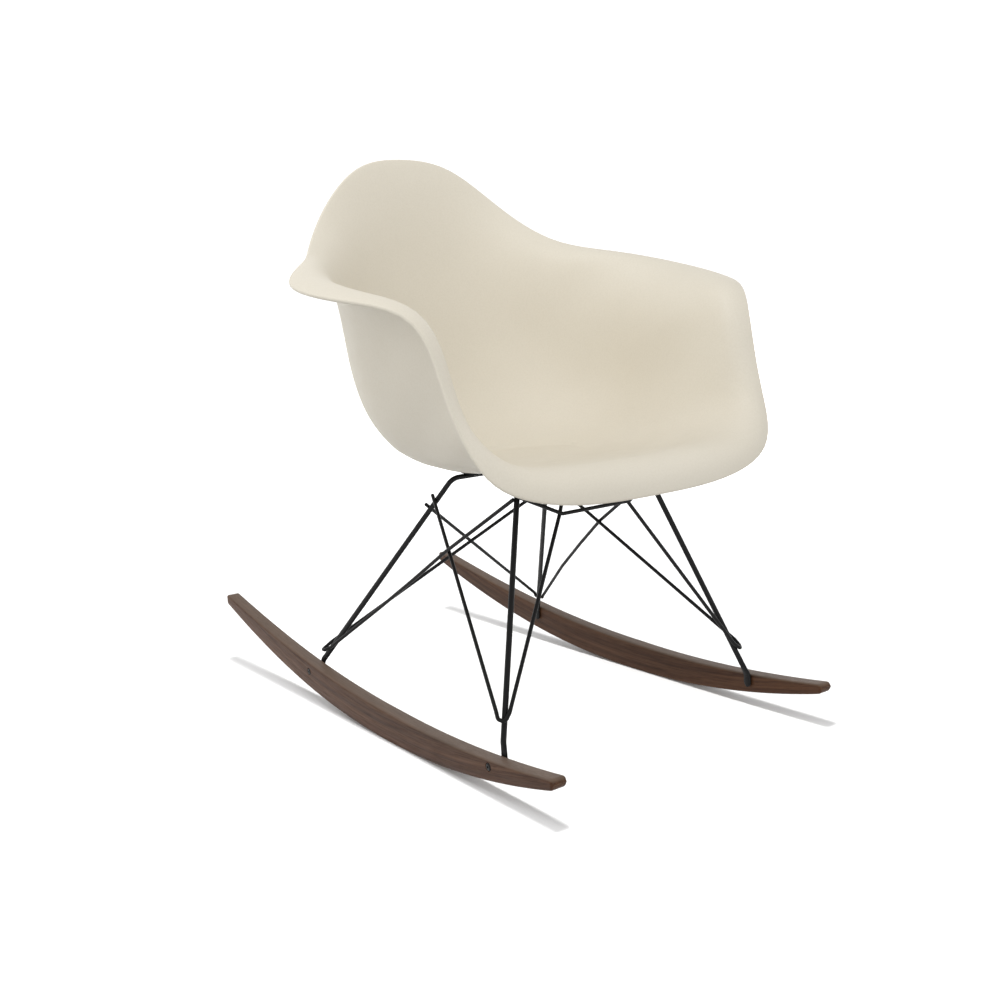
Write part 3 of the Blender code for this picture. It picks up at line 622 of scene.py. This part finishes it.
def make_rocker(name, node, side):
    """A curved bar with rounded edges, and a UV map that runs with its grain."""
    half = ROCKER_LENGTH / 2
    ends = [half - ROCKER_END_ROUND * (1 - math.cos(math.radians(turn))) for turn in range(6, 91, 7)]
    middle = list(np.linspace(-ends[-1], ends[-1], ROCKER_STEPS))[1:-1]
    stations = sorted([-y for y in ends] + middle + ends)
    corner_turns = [math.radians(turn) for turn in (0, 18, 36, 54, 72, 90)]
    rings = []
    for y in stations:
        low, high = rocker_outline(y)
        outer = rocker_outer(y)
        inner = outer - ROCKER_WIDTH
        # The edge is eased at the sides too, towards the tips.
        from_end = half - abs(y)
        squeeze = max(0.0, ROCKER_ROUND - from_end) * 0.45
        outer, inner = outer - squeeze, inner + squeeze
        radius = min(ROCKER_ROUND, 0.45 * (high - low), 0.45 * (outer - inner))
        ring = []
        for corner_x, corner_z, start in (
            (outer - radius, high - radius, 0), (inner + radius, high - radius, 90),
            (inner + radius, low + radius, 180), (outer - radius, low + radius, 270),
        ):
            for turn in corner_turns:
                angle = math.radians(start) + turn
                ring.append((side * (corner_x + radius * math.cos(angle)), y,
                             corner_z + radius * math.sin(angle)))
        rings.append(ring)
    bm = loft(rings)
    grain = bm.loops.layers.uv.new("grain")
    for face in bm.faces:
        for loop in face.loops:
            x, y, z = loop.vert.co
            loop[grain].uv = (y * (1 + 0.5 * ((y - CONTACT_Y) / ROCKER_RADIUS) ** 2),
                              z - rocker_underside(y))
    piece = add_piece(name, bm, WALNUT, 40.0)
    for y, z in (FRONT_SCREW, REAR_SCREW):
        face = rocker_outer(y)
        drill(piece, LEG_HEAD_RADIUS + HOLE_SHOWS, (side * (face - LEG_HEAD_SINK - GAP), y, z),
              (side * (face + CUTTER_BEYOND), y, z))
        drill(piece, LEG_SCREW_RADIUS + GAP, (side * (face - ROCKER_WIDTH - CUTTER_BEYOND), y, z),
              (side * face, y, z))
    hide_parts(node)
    return piece


def drill(piece, radius, start, end):
    """Cuts a round hole through a piece, and bakes it into the mesh."""
    axis = (Vector(end) - Vector(start)).normalized()
    across = axis.orthogonal().normalized()
    other = axis.cross(across)
    turns = [2 * math.pi * i / 32 for i in range(32)]
    bm = loft([[Vector(centre) + radius * (across * math.cos(t) + other * math.sin(t)) for t in turns]
               for centre in (start, end)])
    bmesh.ops.recalc_face_normals(bm, faces=bm.faces[:])
    mesh = bpy.data.meshes.new("drill")
    bm.to_mesh(mesh)
    bm.free()
    cutter = bpy.data.objects.new("drill", mesh)
    bpy.context.scene.collection.objects.link(cutter)
    boolean = piece.modifiers.new("hole", "BOOLEAN")
    boolean.object = cutter
    bpy.context.view_layer.update()
    cut = bpy.data.meshes.new_from_object(piece.evaluated_get(bpy.context.evaluated_depsgraph_get()))
    piece.modifiers.clear()
    piece.data = cut
    bpy.data.objects.remove(cutter, do_unlink=True)


def vertex_normals(grid):
    """Unit normals of a grid of points that closes on itself around, turned up and inwards."""
    out = np.gradient(grid, axis=0)
    around = (np.roll(grid, -1, axis=1) - np.roll(grid, 1, axis=1)) / 2
    normal = np.cross(out, around)
    normal /= np.linalg.norm(normal, axis=2, keepdims=True)
    return normal if normal[0, 0, 2] > 0 else -normal


def floor_patch(bm, ring):
    """A patch of quads inside a ring, which has a quarter of it on each side."""
    side = len(ring) // 4
    border = {}
    for k in range(side):
        border[k, 0] = ring[k]
        border[side, k] = ring[side + k]
        border[side - k, side] = ring[2 * side + k]
        border[0, side - k] = ring[3 * side + k]
    for u in range(1, side):
        for v in range(1, side):
            a, b = u / side, v / side
            co = ((1 - b) * border[u, 0].co + b * border[u, side].co
                  + (1 - a) * border[0, v].co + a * border[side, v].co
                  - (1 - a) * (1 - b) * border[0, 0].co - a * (1 - b) * border[side, 0].co
                  - (1 - a) * b * border[0, side].co - a * b * border[side, side].co)
            border[u, v] = bm.verts.new(co)
    for u in range(side):
        for v in range(side):
            bm.faces.new((border[u, v], border[u, v + 1], border[u + 1, v + 1], border[u + 1, v]))
    return list(border.values())


def make_shell(name):
    """The moulded bucket: an outer and an inner skin that meet in a rounded rim."""
    outer = shell_grid(SHELL_AROUND, SHELL_OUT)
    normal = vertex_normals(outer)
    inner = outer + normal * SHELL_THICK
    bm = bmesh.new()
    rows = [[bm.verts.new(point) for point in row] for row in outer]
    middle = (outer[-1] + inner[-1]) / 2
    away = outer[-1] - outer[-2]
    away /= np.linalg.norm(away, axis=1, keepdims=True)
    for step in range(1, RIM_STEPS):
        turn = math.pi * step / RIM_STEPS
        ring = middle + SHELL_THICK / 2 * (-normal[-1] * math.cos(turn) + away * math.sin(turn))
        rows.append([bm.verts.new(point) for point in ring])
    rows += [[bm.verts.new(point) for point in row] for row in inner[::-1]]
    count = len(rows[0])
    for low, high in zip(rows, rows[1:]):
        for i in range(count):
            j = (i + 1) % count
            bm.faces.new((low[i], low[j], high[j], high[i]))
    for edge, beside in ((rows[0], rows[1:FLOOR_SMOOTH]), (rows[-1], rows[-FLOOR_SMOOTH:-1])):
        blended = floor_patch(bm, edge) + [vert for row in beside for vert in row]
        for _ in range(FLOOR_PASSES):
            bmesh.ops.smooth_vert(bm, verts=blended, factor=0.5, use_axis_z=True)
    for side in (-1, 1):
        for place, bar, way in (("front", FRONT_LEG_TOP, 1), ("rear", REAR_LEG_TOP, -1)):
            add_boss(bm, side * MOUNT_X, bar[1] + way * SCREW_FROM_BAR,
                     bar[2] + BOSS_ABOVE_BAR, BOSS_TOPS[place])
    piece = add_piece(name, bm, CREAM_PLASTIC, 60.0)
    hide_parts("seat_shell")
    return piece


def add_boss(bm, x, y, low, top):
    """A round boss under the seat that flares where it meets the shell."""
    flare = BOSS_RADIUS + 0.0035
    profile = ((low, 0.0030), (low, BOSS_RADIUS - 0.0006), (low + 0.0005, BOSS_RADIUS),
               (top - 0.0045, BOSS_RADIUS), (top - 0.0030, BOSS_RADIUS + 0.0008), (top - 0.0008, flare),
               (top, flare))
    turns = [2 * math.pi * i / 40 for i in range(40)]
    loft([[(x + radius * math.cos(t), y + radius * math.sin(t), z) for t in turns]
          for z, radius in profile], bm)


# ---- the chair

BOSS_ABOVE_BAR = LEG_RADIUS + GAP + TAB_THICK + GAP + MOUNT_THICK + GAP

make_shell("moulded_shell")
for side, word in ((-1, "right"), (1, "left")):
    make_rocker(f"walnut_rocker_{word}", f"rocker_{word}", side)
    make_rear_brace(f"rear_brace_{word}_wire", side)
    make_front_brace(f"front_brace_{word}_wire", side)
make_crossbar()
make_leg_rod("front_rod", "leg_rod_front", FRONT_SCREW, FRONT_LEG)
make_leg_rod("rear_rod", "leg_rod_rear", REAR_SCREW, REAR_LEG)
for name, node in frame["nodes"].items():
    finish = {"tab": POWDER_COAT, "mount": RUBBER, "screw": BLACK_STEEL}
    for word, look in finish.items():
        if word in name.split("_")[:2] or name.startswith("mounting_tab") and word == "tab":
            node.data.materials.clear()
            node.data.materials.append(look)


# ---- floor, light and camera

CAMERA_PLACE = (-0.9117, -1.35655, 0.5415)
CAMERA_YAW = 0.6105
CAMERA_PITCH = 0.1621
CAMERA_ROLL = -0.0641
CAMERA_LENS = 42.136
FLOOR_RADIUS = 40.0
FLOOR_COLOR = (0.80, 0.80, 0.80)
FLOOR_GLOW = 0.03  # near the chair
FLOOR_GLOW_FAR = 1.0
SKY_BELOW, SKY_HORIZON, SKY_ABOVE = 0.52, 1.20, 0.54


def make_floor():
    """A pale floor. Further out it glows, so that it runs into the white surroundings."""
    bm = bmesh.new()
    radii = (0.6, 1.2, 2.4, 5.0, 12.0, FLOOR_RADIUS)
    turns = [2 * math.pi * i / 64 for i in range(64)]
    centre = bm.verts.new((0, 0, 0))
    rings = [[bm.verts.new((r * math.cos(t), r * math.sin(t), 0)) for t in turns] for r in radii]
    for i in range(64):
        j = (i + 1) % 64
        bm.faces.new((centre, rings[0][i], rings[0][j]))
        for low, high in zip(rings, rings[1:]):
            bm.faces.new((low[i], high[i], high[j], low[j]))
    mesh = bpy.data.meshes.new("studio_floor")
    bm.to_mesh(mesh)
    bm.free()
    look = Look("studio_white", 0.75)
    pale = tuple(0.985 * part for part in FLOOR_COLOR)
    look.color(look.ramp(look.noise(2.0, 3.0), (0.3, pale), (0.7, FLOOR_COLOR)))
    look.roughness(look.spread(look.noise(7.0, 3.0), 0.72, 0.80))
    look.shader.inputs["Emission Color"].default_value = (1.0, 1.0, 1.0, 1.0)
    away = look.node("ShaderNodeVectorMath", operation="LENGTH")
    look.link(look.place.outputs["Object"], away.inputs[0])
    glow = look.spread(away.outputs["Value"], FLOOR_GLOW, FLOOR_GLOW_FAR, 0.9, 2.6)
    look.link(glow, look.shader.inputs["Emission Strength"])
    mesh.materials.append(look.material)
    floor = bpy.data.objects.new("studio_floor", mesh)
    bpy.context.scene.collection.objects.link(floor)
    floor.visible_diffuse = False
    return floor


def make_sky():
    """Even white surroundings, brightest at the height of the horizon."""
    world = bpy.data.worlds.new("studio")
    world.use_nodes = True
    nodes, links = world.node_tree.nodes, world.node_tree.links
    way = nodes.new("ShaderNodeTexCoord")
    parts = nodes.new("ShaderNodeSeparateXYZ")
    links.new(way.outputs["Generated"], parts.inputs["Vector"])
    half = nodes.new("ShaderNodeMapRange")
    half.inputs["From Min"].default_value = -1.0
    links.new(parts.outputs["Z"], half.inputs["Value"])
    ramp = nodes.new("ShaderNodeValToRGB")
    elements = ramp.color_ramp.elements
    stops = ((0.0, SKY_BELOW), (0.40, SKY_BELOW), (0.49, SKY_HORIZON), (0.68, SKY_HORIZON), (0.86, SKY_ABOVE),
             (1.0, SKY_ABOVE))
    for _ in range(len(stops) - 2):
        elements.new(0.5)
    for element, (position, level) in zip(elements, stops):
        element.position = position
        element.color = (level, level, level, 1.0)
    links.new(half.outputs["Result"], ramp.inputs["Fac"])
    back = nodes["Background"]
    links.new(ramp.outputs["Color"], back.inputs["Color"])
    back.inputs["Strength"].default_value = 1.0
    bpy.context.scene.world = world


def add_light(name, place, aim, size, power, lit=None, blockers=None):
    """A soft round light. Where they are given, it lights only lit, and only blockers cast its shadow."""
    data = bpy.data.lights.new(name, "AREA")
    data.shape = "DISK"
    data.size = size
    data.energy = power
    light = bpy.data.objects.new(name, data)
    light.location = place
    light.rotation_euler = (Vector(aim) - Vector(place)).to_track_quat("-Z", "Y").to_euler()
    bpy.context.scene.collection.objects.link(light)
    if lit:
        light.light_linking.receiver_collection = gathered(name + "_lit", lit)
    if blockers:
        light.light_linking.blocker_collection = gathered(name + "_blockers", blockers)


def gathered(name, objects):
    group = bpy.data.collections.new(name)
    for obj in objects:
        group.objects.link(obj)
    return group


def make_camera():
    """The camera at the photograph's viewpoint: its turns are yaw, pitch and a small roll."""
    yaw, pitch, roll = CAMERA_YAW, CAMERA_PITCH, CAMERA_ROLL
    ahead = Vector((math.sin(yaw) * math.cos(pitch), math.cos(yaw) * math.cos(pitch), -math.sin(pitch)))
    level = Vector((math.cos(yaw), -math.sin(yaw), 0.0))
    upright = level.cross(ahead)
    right = math.cos(roll) * level + math.sin(roll) * upright
    up = -math.sin(roll) * level + math.cos(roll) * upright
    data = bpy.data.cameras.new("camera")
    data.sensor_width = 36.0
    data.lens = CAMERA_LENS
    camera = bpy.data.objects.new("camera", data)
    turn = Matrix((right, up, -ahead)).transposed()
    camera.matrix_world = Matrix.Translation(CAMERA_PLACE) @ turn.to_4x4()
    bpy.context.scene.collection.objects.link(camera)
    bpy.context.scene.camera = camera


floor = make_floor()
make_sky()
make_camera()
bpy.context.scene.view_settings.view_transform = "Standard"
rockers = [obj for obj in bpy.data.objects if obj.name.startswith("walnut_rocker")]
add_light("overhead", (-1.0, -0.2, 2.8), (0.0, 0.0, 0.3), 1.6, 25.0)
add_light("floor_light", (0.0, 0.0, 3.0), (0.0, 0.0, 0.0), 0.55, 78.0, [floor], rockers)
